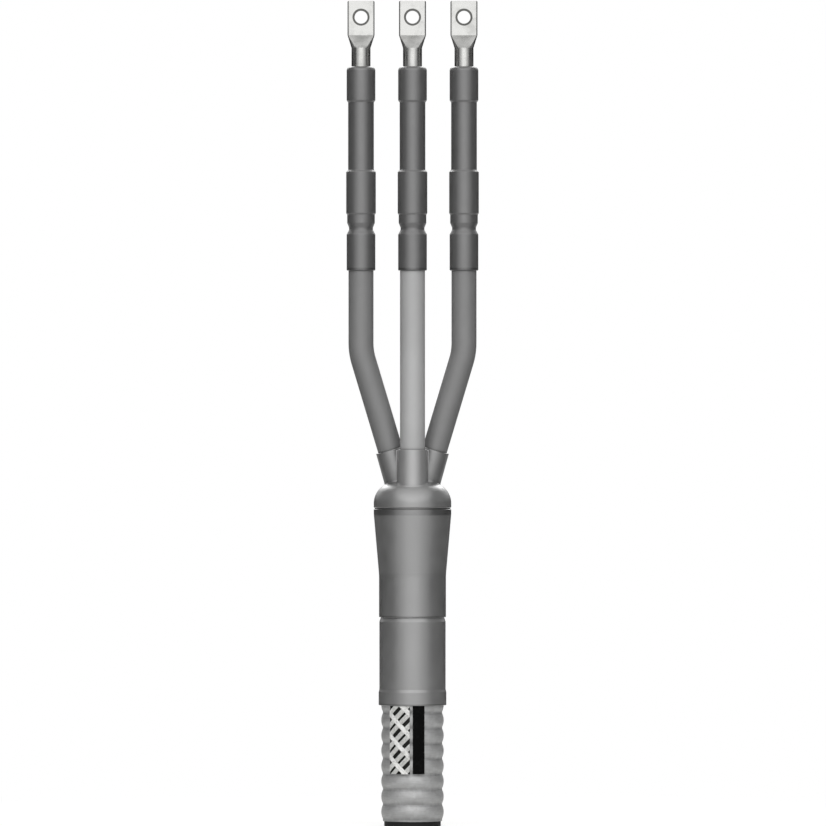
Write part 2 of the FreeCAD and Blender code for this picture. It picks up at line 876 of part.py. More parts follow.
def crotch_filler(braid):
    """The putty packed between the cores, inside the boot and its finger roots."""
    foot = finger_foot_height()
    space = boot_cavity().multiFuse([finger_cavity(side, foot) for side in SIDES.values()])
    space = space.cut(Part.makeCylinder(belly_r, jacket_top, ORIGIN))
    cores = [core_bar(side, core_r, skirt_z) for side in SIDES.values()]
    return cut_all(space, cores + [braid, screen_spring(putty_clearance)])


def filler_rope_r():
    """The radius of a round filler that touches two cores and the binder tape."""
    reach = binder_r + core_r
    across = (reach * reach - lay_r * lay_r) / (2 * reach - lay_r)
    return binder_r - across


def build():
    os.makedirs("parts", exist_ok=True)
    made = {}
    made["armour"] = armour()
    made["inner_jacket"] = ring(jacket_in_r, jacket_r, 0, jacket_top)
    made["binder_tape"] = ring(binder_r, jacket_in_r, 0, jacket_top)
    rope_r = filler_rope_r() - 2 * filler_clearance
    for number in range(rope_count):
        angle = math.pi / 2 + number * 2 * math.pi / rope_count
        centre = binder_r - rope_r - filler_clearance
        foot = FreeCAD.Vector(centre * math.cos(angle), centre * math.sin(angle), 0)
        made["filler_rope_" + str(number + 1)] = Part.makeCylinder(rope_r, jacket_top, foot)
    made["centre_filler"] = Part.makeCylinder(lay_r - core_r - filler_clearance, jacket_top, ORIGIN)
    braid = ground_braid()
    made["ground_braid"] = braid
    made["bond_lead_braid"] = lead_braid()
    made["bond_lead_skin"] = lead_skin()
    made["armour_roll_spring"] = armour_spring()
    made["screen_roll_spring"] = screen_spring()
    made["sealing_sleeve"] = sealing_sleeve()
    made["mouth_mastic"] = mouth_mastic([braid, made["bond_lead_braid"], made["bond_lead_skin"]])
    made["buildup_tape"] = buildup_tape(braid)
    made["jacket_mastic"] = jacket_mastic(braid)
    made["breakout_boot"] = breakout_boot()
    made["crotch_filler"] = crotch_filler(braid)
    upper = {
        "stress_mastic": stress_mastic(),
        "stress_tube": stress_tube(),
        "termination_body": termination_body(),
        "lug_mastic": lug_mastic(),
        "lug": lug(),
    }
    for name, side in SIDES.items():
        made["conductor_" + name] = core_bar(side, conductor_r, taper_z - bore_end_wall)
        made["conductor_screen_" + name] = core_layer(side, conductor_r, conductor_screen_r, insulation_top)
        made["insulation_" + name] = insulation(side)
        made["insulation_screen_" + name] = insulation_screen(side)
        made["copper_tape_" + name] = core_layer(side, insulation_screen_r, core_r, tape_top)
        made["core_tube_" + name] = core_tube(side)
        for kind, shape in upper.items():
            made[kind + "_" + name] = moved(shape, side * leg_pitch, 0)
    for name, shape in made.items():
        save(name, shape)


build()
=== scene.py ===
import math
import bpy
from mathutils import Matrix, Vector


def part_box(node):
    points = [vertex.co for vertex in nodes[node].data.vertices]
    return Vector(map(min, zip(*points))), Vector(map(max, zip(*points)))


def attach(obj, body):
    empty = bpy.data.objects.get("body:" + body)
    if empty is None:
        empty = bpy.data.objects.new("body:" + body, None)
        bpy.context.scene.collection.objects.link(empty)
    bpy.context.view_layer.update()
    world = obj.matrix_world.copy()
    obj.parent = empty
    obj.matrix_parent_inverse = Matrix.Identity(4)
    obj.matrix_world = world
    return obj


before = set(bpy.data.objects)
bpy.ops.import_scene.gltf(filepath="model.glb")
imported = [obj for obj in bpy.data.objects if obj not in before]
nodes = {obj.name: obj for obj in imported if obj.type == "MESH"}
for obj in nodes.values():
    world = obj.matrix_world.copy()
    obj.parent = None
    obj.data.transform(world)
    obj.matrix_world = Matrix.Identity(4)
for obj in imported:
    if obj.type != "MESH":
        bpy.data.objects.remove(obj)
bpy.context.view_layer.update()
print("Frame loaded,", len(nodes), "pieces")

millimetre = 0.001
sides = ("left", "middle", "right")
legPitch = sum(corner.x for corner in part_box("lug_right")) / 2


# Small helpers for the materials, and what they all share
shared = {
    "coatIor": 1.6,  # of the thin greasy film on rubber
    "creaseClosed": 0.45, "creaseOpen": 0.97, "creaseSamples": 12,  # how open a point is to the sky
    "dustFrom": 0.35, "dustFull": 0.95,  # how much a surface faces up
    "noiseLow": 0.3, "noiseHigh": 0.7,  # where most of a soft noise lies
    "streakLow": 0.45, "streakHigh": 0.7,  # the part of a noise that shows as streaks
}


def toLinear(hexColour):
    # sRGB hex to the linear colour that a shader wants
    channels = [int(hexColour[place:place + 2], 16) / 255 for place in (0, 2, 4)]
    return [c / 12.92 if c <= 0.04045 else ((c + 0.055) / 1.055) ** 2.4 for c in channels] + [1]


def addNode(tree, kind, inputs, **settings):
    # a node with its settings and what goes into its sockets, by name or number
    node = tree.nodes.new("ShaderNode" + kind)
    for setting, value in settings.items():
        setattr(node, setting, value)
    for socket, value in inputs.items():
        if isinstance(value, bpy.types.NodeSocket):
            tree.links.new(value, node.inputs[socket])
        else:
            node.inputs[socket].default_value = value
    return node


def startMaterial(name, roughness, metallic=0, specular=0.5, coat=0, ior=1.5):
    # returns the material, its tree, its shader and the Object coordinates
    material = bpy.data.materials.new(name)
    material.use_nodes = True
    tree = material.node_tree
    shader = tree.nodes["Principled BSDF"]
    shader.inputs["Roughness"].default_value = roughness
    shader.inputs["Metallic"].default_value = metallic
    if not metallic:
        shader.inputs["Specular IOR Level"].default_value = specular
        shader.inputs["IOR"].default_value = ior
        shader.inputs["Coat Weight"].default_value = coat
        shader.inputs["Coat Roughness"].default_value = roughness
        shader.inputs["Coat IOR"].default_value = shared["coatIor"]
    place = addNode(tree, "TexCoord", {}).outputs["Object"]
    return material, tree, shader, place


def blendColours(tree, share, first, second):
    inputs = {0: share}
    for socket, colour in ((6, first), (7, second)):
        inputs[socket] = toLinear(colour) if isinstance(colour, str) else colour
    return addNode(tree, "Mix", inputs, data_type="RGBA").outputs[2]


def cloud(tree, place, size, detail=2, stretch=(1, 1, 1)):
    # soft noise whose lumps are about this size, longer where stretch is larger
    if stretch != (1, 1, 1):
        scale = [1 / s for s in stretch]
        place = addNode(tree, "Mapping", {"Vector": place, "Scale": scale}).outputs[0]
    return addNode(tree, "TexNoise", {"Vector": place, "Scale": 1 / size, "Detail": detail}).outputs[0]


def ramp(tree, value, low, high, start=0, end=1):
    # eases from start to end while the value goes from low to high
    inputs = {"Value": value, "From Min": low, "From Max": high, "To Min": start, "To Max": end}
    return addNode(tree, "MapRange", inputs, interpolation_type="SMOOTHSTEP").outputs[0]


def compute(tree, operation, first, second=0.0):
    return addNode(tree, "Math", {0: first, 1: second}, operation=operation).outputs[0]


def band(tree, value, low, high, soft, most=1):
    # this much between two places, fading over the soft distance outside them
    rise = ramp(tree, value, low - soft, low, 0, most)
    fall = ramp(tree, value, high, high + soft, 1, 0)
    return compute(tree, "MULTIPLY", rise, fall)


def axes(tree, place):
    return addNode(tree, "SeparateXYZ", {0: place}).outputs


def radiusOf(tree, place):
    # distance from the cable's axis
    flat = addNode(tree, "VectorMath", {0: place, 1: (1, 1, 0)}, operation="MULTIPLY").outputs[0]
    return addNode(tree, "VectorMath", {0: flat}, operation="LENGTH").outputs["Value"]


def legCoordinates(tree, place):
    # X, Y and Z measured from the axis of whichever leg it is, so the three legs look the same
    x, y, z = axes(tree, place)
    wrap = {0: x, 1: legPitch / 2, 2: -legPitch / 2}
    return addNode(tree, "Math", wrap, operation="WRAP").outputs[0], y, z


def crossedWaves(tree, place, spacing):
    # ridges that lean both ways across a strap, as its tows do, from -1 to 1
    parts = axes(tree, place)
    waves = []
    for lean in (1, -1):
        turned = compute(tree, "ADD", compute(tree, "MULTIPLY", parts[0], lean), parts[2])
        waves.append(compute(tree, "SINE", compute(tree, "MULTIPLY", turned, 2 * math.pi / spacing)))
    return compute(tree, "MAXIMUM", waves[0], waves[1])


def streaksOf(tree, place, look):
    # faint lines that the rubber's flow leaves up the moulding
    lines = cloud(tree, place, look["streakSize"], 2, (1, 1, look["streakStretch"]))
    return ramp(tree, lines, shared["streakLow"], shared["streakHigh"], 0, look["streakShade"])


def setHeight(tree, shader, layers):
    # layers of (height from 0 to 1, depth in metres), from the deepest to the finest
    normal = None
    for height, depth in layers:
        inputs = {"Height": height, "Strength": 1, "Distance": depth}
        if normal:
            inputs["Normal"] = normal
        normal = addNode(tree, "Bump", inputs).outputs[0]
    tree.links.new(normal, shader.inputs["Normal"])


def varyRoughness(tree, shader, look, pattern, low=shared["noiseLow"], high=shared["noiseHigh"]):
    # a little smoother and rougher from place to place
    smoother, rougher = look["polish"]
    polish = ramp(tree, pattern, low, high, look["roughness"] - smoother, look["roughness"] + rougher)
    tree.links.new(polish, shader.inputs["Roughness"])


def shadeCreases(tree, colour, dark, reach, amount):
    # painted shade darkens the colour where surfaces meet within this reach, together with the grime that
    # gathers there
    samples = shared["creaseSamples"]
    openness = addNode(tree, "AmbientOcclusion", {"Distance": reach}, samples=samples).outputs["AO"]
    share = ramp(tree, openness, shared["creaseClosed"], shared["creaseOpen"], amount, 0)
    return blendColours(tree, share, colour, dark)


def dustOn(tree, colour, dustColour, amount):
    # a little pale dust lies on what faces up
    up = axes(tree, addNode(tree, "NewGeometry", {}).outputs["Normal"])[2]
    share = ramp(tree, up, shared["dustFrom"], shared["dustFull"], 0, amount)
    return blendColours(tree, share, colour, dustColour)


def dress(material, *names):
    for name in names:
        nodes[name].material_slots[0].material = material


def onEachLeg(name):
    return [name + "_" + side for side in sides]


# EPDM rubber, injection moulded: dark grey, satin, with a fine mould grain, slight clouding from the
# filler and a parting line down each side
bodyRubber = {
    "dark": "484848", "light": "515151", "dust": "666563", "rim": "121212",
    "roughness": 0.4, "polish": (0.04, 0.06), "polishSize": 9 * millimetre,
    "specular": 1.0, "coat": 0.8,
    "cloudSize": 18 * millimetre, "grainSize": 1.3 * millimetre, "grainDepth": 0.05 * millimetre,
    "streakSize": 3 * millimetre, "streakStretch": 14, "streakShade": 0.25,
    "partingWidth": 0.35 * millimetre, "partingHeight": 0.12 * millimetre,
    "footRimDark": 1.92 * millimetre, "footRimEnd": 3.2 * millimetre,
    "topRimDark": 1.2 * millimetre, "topRimEnd": 2.4 * millimetre, "rimShade": 0.8,
    "creaseReach": 5 * millimetre, "creaseShade": 0.6, "dustShare": 0.35,
}


def makeBodyRubber(look):
    material, tree, shader, place = startMaterial("mouldedEpdmRubber", look["roughness"], 0,
                                                look["specular"], look["coat"])
    depth, height = axes(tree, place)[1:]
    colour = blendColours(tree, cloud(tree, place, look["cloudSize"], 4), look["dark"], look["light"])
    colour = blendColours(tree, streaksOf(tree, place, look), colour, look["dark"])
    # painted shade: darker along the body's foot and its top rim
    foot, top = [corner.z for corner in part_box("termination_body_middle")]
    footRim = ramp(tree, height, foot + look["footRimDark"], foot + look["footRimEnd"],
                   look["rimShade"], 0)
    topRim = ramp(tree, height, top - look["topRimEnd"], top - look["topRimDark"], 0, look["rimShade"])
    rims = compute(tree, "ADD", footRim, topRim)
    colour = blendColours(tree, rims, colour, look["rim"])
    colour = shadeCreases(tree, colour, look["rim"], look["creaseReach"], look["creaseShade"])
    colour = dustOn(tree, colour, look["dust"], look["dustShare"])
    tree.links.new(colour, shader.inputs["Base Color"])
    varyRoughness(tree, shader, look, cloud(tree, place, look["polishSize"], 3))
    parting = ramp(tree, compute(tree, "ABSOLUTE", depth), 0, look["partingWidth"], 1, 0)
    grain = cloud(tree, place, look["grainSize"], 3)
    setHeight(tree, shader, [(parting, look["partingHeight"]), (grain, look["grainDepth"])])
    return material


dress(makeBodyRubber(bodyRubber), *onEachLeg("termination_body"))


# Cold-shrink EPDM of the boot and the sealing sleeve: mid grey, satin. The boot has painted shadow in a
# band under its rim, a parting line down its two sides, and a middle finger painted paler as if lit
bootRubber = {
    "dark": "606060", "light": "6A6A6A", "dust": "8A8985",
    "roughness": 0.37, "polish": (0.04, 0.06), "polishSize": 13 * millimetre,
    "specular": 1.0, "coat": 1.0, "ior": 1.72,
    "cloudSize": 26 * millimetre, "grainSize": 1.5 * millimetre, "grainDepth": 0.05 * millimetre,
    "streakSize": 3.714 * millimetre, "streakStretch": 16, "streakShade": 0.2,
    "partingWidth": 0.45 * millimetre, "partingHeight": 0.15 * millimetre,
    "creaseHeight": 317.96 * millimetre, "groove": "0E0E0E", "grooveShade": 0.85,
    "grooveBelow": 1.3 * millimetre, "grooveAbove": 0.6 * millimetre, "grooveSoft": 0.5 * millimetre,
    "band": "141414", "bandHeight": 6.0 * millimetre, "bandSoft": 2 * millimetre, "bandShade": 0.8,
    "collarTop": 254 * millimetre, "collarSoft": 1.5 * millimetre, "collarShade": 0.12,
    "shadedSideFinger": "4E4E4E", "litMiddleFinger": "868686", "fingerShade": 0.9,
    "fingerFoot": 338 * millimetre, "fingerFull": 343 * millimetre,
    "middleInside": 14.8 * millimetre, "middleOutside": 15.3 * millimetre,
    "lipDark": 1.2 * millimetre, "lipEnd": 2.0 * millimetre, "lipShade": 0.85,
    "creaseReach": 7 * millimetre, "creaseShade": 0.7, "dustShare": 0.12,
}


def makeBootRubber(look, name, node):
    material, tree, shader, place = startMaterial(name, look["roughness"], 0, look["specular"],
                                                look["coat"], look["ior"])
    across, depth, height = axes(tree, place)
    colour = blendColours(tree, cloud(tree, place, look["cloudSize"], 4), look["dark"], look["light"])
    colour = blendColours(tree, streaksOf(tree, place, look), colour, look["dark"])
    layers = []
    if node == "breakout_boot":
        # painted light and shade: the middle finger paler as if lit, the side fingers darker as if shaded
        aside = compute(tree, "ABSOLUTE", across)
        inMiddle = ramp(tree, aside, look["middleInside"], look["middleOutside"], 1, 0)
        fingerColour = blendColours(tree, inMiddle, look["shadedSideFinger"], look["litMiddleFinger"])
        inFinger = ramp(tree, height, look["fingerFoot"], look["fingerFull"], 0, look["fingerShade"])
        colour = blendColours(tree, inFinger, colour, fingerColour)
        crease = look["creaseHeight"]
        # painted shadow in a band under the dome's rim
        rimShadowBand = band(tree, height, crease - look["bandHeight"], crease,
                       look["bandSoft"], look["bandShade"])
        colour = blendColours(tree, rimShadowBand, colour, look["band"])
        # the collar is painted a little darker than the flare above it
        collarFade = look["collarTop"] - look["collarSoft"]
        collar = ramp(tree, height, collarFade, look["collarTop"], look["collarShade"], 0)
        colour = blendColours(tree, collar, colour, look["band"])
        # painted shade in the groove at the dome's rim
        groove = band(tree, height, crease - look["grooveBelow"], crease + look["grooveAbove"],
                      look["grooveSoft"], look["grooveShade"])
        colour = blendColours(tree, groove, colour, look["groove"])
        parting = ramp(tree, compute(tree, "ABSOLUTE", depth), 0, look["partingWidth"], 1, 0)
        layers.append((parting, look["partingHeight"]))
    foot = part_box(node)[0].z
    # painted shade along the foot of the boot and of the sleeve
    lip = ramp(tree, height, foot + look["lipDark"], foot + look["lipEnd"], look["lipShade"], 0)
    colour = blendColours(tree, lip, colour, look["groove"])
    colour = shadeCreases(tree, colour, look["groove"], look["creaseReach"], look["creaseShade"])
    colour = dustOn(tree, colour, look["dust"], look["dustShare"])
    tree.links.new(colour, shader.inputs["Base Color"])
    varyRoughness(tree, shader, look, cloud(tree, place, look["polishSize"], 3))
    layers.append((cloud(tree, place, look["grainSize"], 3), look["grainDepth"]))
    setHeight(tree, shader, layers)
    return material


for name, node in (("mouldedBootRubber", "breakout_boot"), ("coldShrinkSleeveRubber", "sealing_sleeve")):
    dress(makeBootRubber(bootRubber, name, node), node)


# Cross-linked polyolefin tube, shrunk on: smooth, satin, with faint lines drawn along it. The middle one
# is a paler copy of the same grey, as painted light
coreTube = {
    "dark": "737373", "light": "7D7D7D", "litCopyDark": "A4A4A4", "litCopyLight": "AEAEAE",
    "dust": "A4A3A1", "dustShare": 0.25, "roughness": 0.5, "specular": 0.8,
    "cloudSize": 20 * millimetre, "rippleSize": 6.667 * millimetre, "rippleDepth": 0.12 * millimetre,
    "lineSize": 1.2 * millimetre, "lineStretch": 40, "lineDepth": 0.04 * millimetre,
    "lineRange": (0.5, 0.75), "lineShade": 0.3,
    "crease": "1C1C1C", "creaseReach": 5 * millimetre, "creaseShade": 0.7,
}


def makeCoreTube(look, name, dark, light):
    material, tree, shader, place = startMaterial(name, look["roughness"], 0, look["specular"])
    colour = blendColours(tree, cloud(tree, place, look["cloudSize"], 4), dark, light)
    lines = cloud(tree, place, look["lineSize"], 2, (1, 1, look["lineStretch"]))
    lineShare = ramp(tree, lines, *look["lineRange"], 0, look["lineShade"])
    colour = blendColours(tree, lineShare, colour, dark)
    colour = shadeCreases(tree, colour, look["crease"], look["creaseReach"], look["creaseShade"])
    colour = dustOn(tree, colour, look["dust"], look["dustShare"])
    tree.links.new(colour, shader.inputs["Base Color"])
    ripple = cloud(tree, place, look["rippleSize"], 2)
    setHeight(tree, shader, [(ripple, look["rippleDepth"]), (lines, look["lineDepth"])])
    return material


dress(makeCoreTube(coreTube, "shrunkTubeGrey", coreTube["dark"], coreTube["light"]),
      "core_tube_left", "core_tube_right")
# the middle tube painted paler, as painted light
dress(makeCoreTube(coreTube, "shrunkTubeLitCopy", coreTube["litCopyDark"], coreTube["litCopyLight"]),
      "core_tube_middle")
print("Rubber and tubes dressed")


# Tinned copper lug, pressed from tube and electroplated: nearly white, soft reflections, fine
# rolling lines along the palm, painted shade in a ring round the hole and along the palm's edges
lugTin = {
    "bright": "B9B9B7", "dull": "A9A9A7", "edge": "3A3A38",
    "roughness": 0.3, "polish": (0.03, 0.1),
    "tarnishSize": 9 * millimetre, "tarnishRange": (0.4, 0.75),
    "lineSize": 0.9 * millimetre, "lineStretch": 18, "lineDepth": 0.012 * millimetre,
    "holeFromTop": 16.4 * millimetre, "holeRadius": 6.5 * millimetre,
    "ringWidth": 1.9 * millimetre, "ringSoft": 0.3 * millimetre, "ringShade": 0.9,
    "rimInside": 11.4 * millimetre, "rimOutside": 13.5 * millimetre, "rimShade": 0.6,
    "seamWidth": 0.25 * millimetre, "seamDepth": 0.1 * millimetre, "palmMiddle": 6.75 * millimetre,
    "seamInside": 12.3 * millimetre, "seamOutside": 12.5 * millimetre,
}


def makeLugTin(look):
    material, tree, shader, place = startMaterial("tinnedCopper", look["roughness"], 1)
    x, y, z = legCoordinates(tree, place)
    tarnish = ramp(tree, cloud(tree, place, look["tarnishSize"], 4), *look["tarnishRange"])
    colour = blendColours(tree, tarnish, look["bright"], look["dull"])
    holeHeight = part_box("lug_middle")[1].z - look["holeFromTop"]
    fromHole = addNode(tree, "CombineXYZ", {0: x, 1: compute(tree, "SUBTRACT", z, holeHeight)}).outputs[0]
    fromHole = addNode(tree, "VectorMath", {0: fromHole}, operation="LENGTH").outputs["Value"]
    # painted shade in a dark ring round the hole, and down the hole's wall
    ringEdge = look["holeRadius"] + look["ringWidth"]
    ring = band(tree, fromHole, 0, ringEdge, look["ringSoft"], look["ringShade"])
    colour = blendColours(tree, ring, colour, look["edge"])
    # painted shade along the palm's two rounded edges
    aside = compute(tree, "ABSOLUTE", x)
    rim = ramp(tree, aside, look["rimInside"], look["rimOutside"], 0, look["rimShade"])
    colour = blendColours(tree, rim, colour, look["edge"])
    tree.links.new(colour, shader.inputs["Base Color"])
    varyRoughness(tree, shader, look, tarnish, 0, 1)
    # the line down the palm's two edges where the walls of the tube are pressed together
    fromSeam = compute(tree, "ABSOLUTE", compute(tree, "SUBTRACT", y, look["palmMiddle"]))
    inside = ramp(tree, aside, look["seamInside"], look["seamOutside"], 1, 0)
    seam = compute(tree, "MAXIMUM", ramp(tree, fromSeam, 0, look["seamWidth"]), inside)
    lines = cloud(tree, place, look["lineSize"], 2, (1, 1, look["lineStretch"]))
    setHeight(tree, shader, [(seam, look["seamDepth"]), (lines, look["lineDepth"])])
    return material


dress(makeLugTin(lugTin), *onEachLeg("lug"))


# Corrugated armour, formed from galvanised steel strip: dull zinc grey, with faint zinc crystals,
# fine rolling lines round it, valleys a shade darker than the ridges as painted shade, and darker dirt
# in the valleys. The weathered zinc is part oxide, so less metallic
armourSteel = {
    "ridge": "AEAEAE", "valley": "A4A4A4", "metal": 0.8,
    "roughness": 0.6, "polish": (0.05, 0.07), "polishSize": 7 * millimetre,
    "valleyRadius": 29.6 * millimetre, "peakRadius": 31.25 * millimetre,
    "lineSize": 0.8 * millimetre, "lineStretch": 14, "lineDepth": 0.035 * millimetre, "lineShade": 0.16,
    "spangle": "BCBDBE", "spangleSize": 3.2 * millimetre, "spangleShare": 0.4,
    "stainSize": 11 * millimetre, "stainRange": (0.5, 0.8), "stainShare": 0.35,
    "dirt": "6A6A6A", "dirtSize": 4 * millimetre, "dirtTop": 0.3, "dirtShare": 0.4,
}


def makeArmourSteel(look):
    material, tree, shader, place = startMaterial("galvanisedSteel", look["roughness"], look["metal"])
    # painted shade: the valleys a little darker than the ridges
    rise = ramp(tree, radiusOf(tree, place), look["valleyRadius"], look["peakRadius"])
    colour = blendColours(tree, rise, look["valley"], look["ridge"])
    cells = addNode(tree, "TexVoronoi", {"Vector": place, "Scale": 1 / look["spangleSize"]})
    crystals = ramp(tree, axes(tree, cells.outputs["Color"])[0], 0, 1, 0, look["spangleShare"])
    colour = blendColours(tree, crystals, colour, look["spangle"])
    lines = cloud(tree, place, look["lineSize"], 2, (look["lineStretch"], look["lineStretch"], 1))
    lineShare = ramp(tree, lines, shared["streakLow"], shared["streakHigh"], 0, look["lineShade"])
    colour = blendColours(tree, lineShare, colour, look["dirt"])
    stain = cloud(tree, place, look["stainSize"], 5)
    stain = ramp(tree, stain, *look["stainRange"], 0, look["stainShare"])
    colour = blendColours(tree, stain, colour, look["valley"])
    inValley = ramp(tree, rise, 0, look["dirtTop"], look["dirtShare"], 0)
    dirt = compute(tree, "MULTIPLY", inValley, cloud(tree, place, look["dirtSize"], 3))
    colour = blendColours(tree, dirt, colour, look["dirt"])
    tree.links.new(colour, shader.inputs["Base Color"])
    varyRoughness(tree, shader, look, cloud(tree, place, look["polishSize"], 4))
    setHeight(tree, shader, [(lines, look["lineDepth"])])
    return material


dress(makeArmourSteel(armourSteel), "armour")
print("Lugs and armour dressed")


# Black PVC skin of the bonding lead, extruded: near black, low gloss, the braid inside just shows
# as a diamond relief
leadSkin = {
    "black": "020202", "worn": "101010", "roughness": 0.75, "specular": 0.08,
    "towSpacing": 5.2 * millimetre, "reliefRange": (-0.6, 1), "reliefDepth": 0.16 * millimetre,
    "scuffSize": 5 * millimetre, "scuffRange": (0.5, 0.75),
}


def makeLeadSkin(look):
    material, tree, shader, place = startMaterial("blackPvc", look["roughness"], 0, look["specular"])
    relief = ramp(tree, crossedWaves(tree, place, look["towSpacing"]), *look["reliefRange"])
    worn = ramp(tree, cloud(tree, place, look["scuffSize"], 4), *look["scuffRange"])
    scuff = compute(tree, "MULTIPLY", worn, relief)
    colour = blendColours(tree, scuff, look["black"], look["worn"])
    tree.links.new(colour, shader.inputs["Base Color"])
    setHeight(tree, shader, [(relief, look["reliefDepth"])])
    return material


dress(makeLeadSkin(leadSkin), "bond_lead_skin")


# Tinned copper braid: bright round wires, with painted shade where the tows leave a gap. The wires are
# so fine and dull that a bunch of them scatters light, so they are less metallic than a polished piece
braidLook = {
    "bright": "ECECEA", "dull": "CECECC", "tarnishSize": 2.5 * millimetre, "tarnishRange": (0.45, 0.75),
    "roughness": 0.5, "polish": (0.04, 0.1), "wireMetal": 0.6, "wireShade": 0.35,
    "gap": "2C2C2A", "tow": "B4B4B2", "insideRoughness": 0.65, "gapShade": 0.8,
    "gapRadius": 31.75 * millimetre, "towRadius": 32.0 * millimetre, "creaseReach": 1.2 * millimetre,
    "strandSpacing": 0.6426 * millimetre, "strandDepth": 0.08 * millimetre,
}


def makeBraidInside(look):
    material, tree, shader, place = startMaterial("tinnedBraidInside", look["insideRoughness"], 1)
    # painted shade: dark below the tops of the tows, in the gaps between them
    rise = ramp(tree, radiusOf(tree, place), look["gapRadius"], look["towRadius"])
    colour = blendColours(tree, rise, look["gap"], look["tow"])
    colour = shadeCreases(tree, colour, look["gap"], look["creaseReach"], look["gapShade"])
    tree.links.new(colour, shader.inputs["Base Color"])
    weave = ramp(tree, crossedWaves(tree, place, look["strandSpacing"]), -1, 1)
    setHeight(tree, shader, [(weave, look["strandDepth"])])
    return material


def makeBraidWire(look):
    material, tree, shader, place = startMaterial("tinnedWire", look["roughness"], look["wireMetal"])
    tarnish = ramp(tree, cloud(tree, place, look["tarnishSize"], 3), *look["tarnishRange"])
    colour = blendColours(tree, tarnish, look["bright"], look["dull"])
    colour = shadeCreases(tree, colour, look["gap"], look["creaseReach"], look["wireShade"])
    tree.links.new(colour, shader.inputs["Base Color"])
    varyRoughness(tree, shader, look, tarnish, 0, 1)
    return material


dress(makeBraidInside(braidLook), "ground_braid", "bond_lead_braid")


# The wires of the ground braid's tows, laid on the tows of the frame. The angles run round the
# armour from the front, negative towards -X, as the strap lies
braidWires = {
    "wireDiameter": 0.4 * millimetre, "wiresInTow": 11, "towWidth": 4.5 * millimetre, "wireSides": 6,
    "lean": math.radians(45), "period": 21.4 * millimetre, "firstCrossing": 2.9 * millimetre,
    "secondTow": 0.55, "overRadius": 32.50 * millimetre, "underRadius": 32.22 * millimetre,
    "startAngle": math.radians(-44.2), "endAngle": math.radians(-5.2), "segments": 14,
    "smoothAngle": math.radians(50),
}


def flatTow(look, lean):
    # straight wires side by side, on a flat sheet: X round the armour, Z up, Y outwards
    width = look["overRadius"] * (look["endAngle"] - look["startAngle"])
    length = width / math.cos(look["lean"]) + 2 * look["towWidth"]
    bpy.ops.object.select_all(action="DESELECT")
    bpy.ops.mesh.primitive_circle_add(vertices=look["wireSides"], radius=look["wireDiameter"] / 2,
                                      fill_type="NGON", location=(0, 0, -length / 2))
    tow = bpy.context.object
    bpy.ops.object.mode_set(mode="EDIT")
    step = (0, 0, length / look["segments"])
    for _ in range(look["segments"]):
        bpy.ops.mesh.extrude_region_move(TRANSFORM_OT_translate={"value": step})
    bpy.ops.mesh.select_all(action="SELECT")
    bpy.ops.mesh.normals_make_consistent(inside=False)
    bpy.ops.object.mode_set(mode="OBJECT")
    bpy.ops.object.transform_apply(location=True, rotation=True, scale=True)
    spacing = look["towWidth"] / look["wiresInTow"]
    side = tow.modifiers.new("side", "ARRAY")
    side.count = look["wiresInTow"]
    side.use_relative_offset = False
    side.use_constant_offset = True
    side.constant_offset_displace = (spacing, 0, 0)
    bpy.ops.object.modifier_apply(modifier="side")
    middle = spacing * (look["wiresInTow"] - 1) / 2
    tow.data.transform(Matrix.Rotation(lean, 4, "Y") @ Matrix.Translation((-middle, 0, 0)))
    trim(tow, (width / 2, 0, 0), (1, 0, 0))
    trim(tow, (-width / 2, 0, 0), (-1, 0, 0))
    return tow


def trim(piece, point, outwards):
    # cuts off what lies beyond a plane and closes the cut
    bpy.ops.object.select_all(action="DESELECT")
    piece.select_set(True)
    bpy.context.view_layer.objects.active = piece
    bpy.ops.object.mode_set(mode="EDIT")
    bpy.ops.mesh.select_all(action="SELECT")
    bpy.ops.mesh.bisect(plane_co=point, plane_no=outwards, use_fill=True, clear_outer=True)
    bpy.ops.object.mode_set(mode="OBJECT")


def layTow(pattern, look, z, radius, low, high):
    # a copy of a flat tow, cut to the strap's ends and wrapped round the armour
    reach = look["overRadius"] * (look["endAngle"] - look["startAngle"]) / 2 + look["towWidth"]
    if z + reach < low or z - reach > high + look["towWidth"]:
        return None
    tow = pattern.copy()
    tow.data = pattern.data.copy()
    bpy.context.scene.collection.objects.link(tow)
    tow.data.transform(Matrix.Translation((0, 0, z)))
    if z - reach < low:
        trim(tow, (0, 0, low), (0, 0, -1))
    if z + reach > high:
        trim(tow, (0, 0, high), (0, 0, 1))
    middle = (look["startAngle"] + look["endAngle"]) / 2
    for vertex in tow.data.vertices:
        angle = middle + vertex.co.x / radius
        out = radius - vertex.co.y
        vertex.co = (out * math.sin(angle), -out * math.cos(angle), vertex.co.z)
    return tow


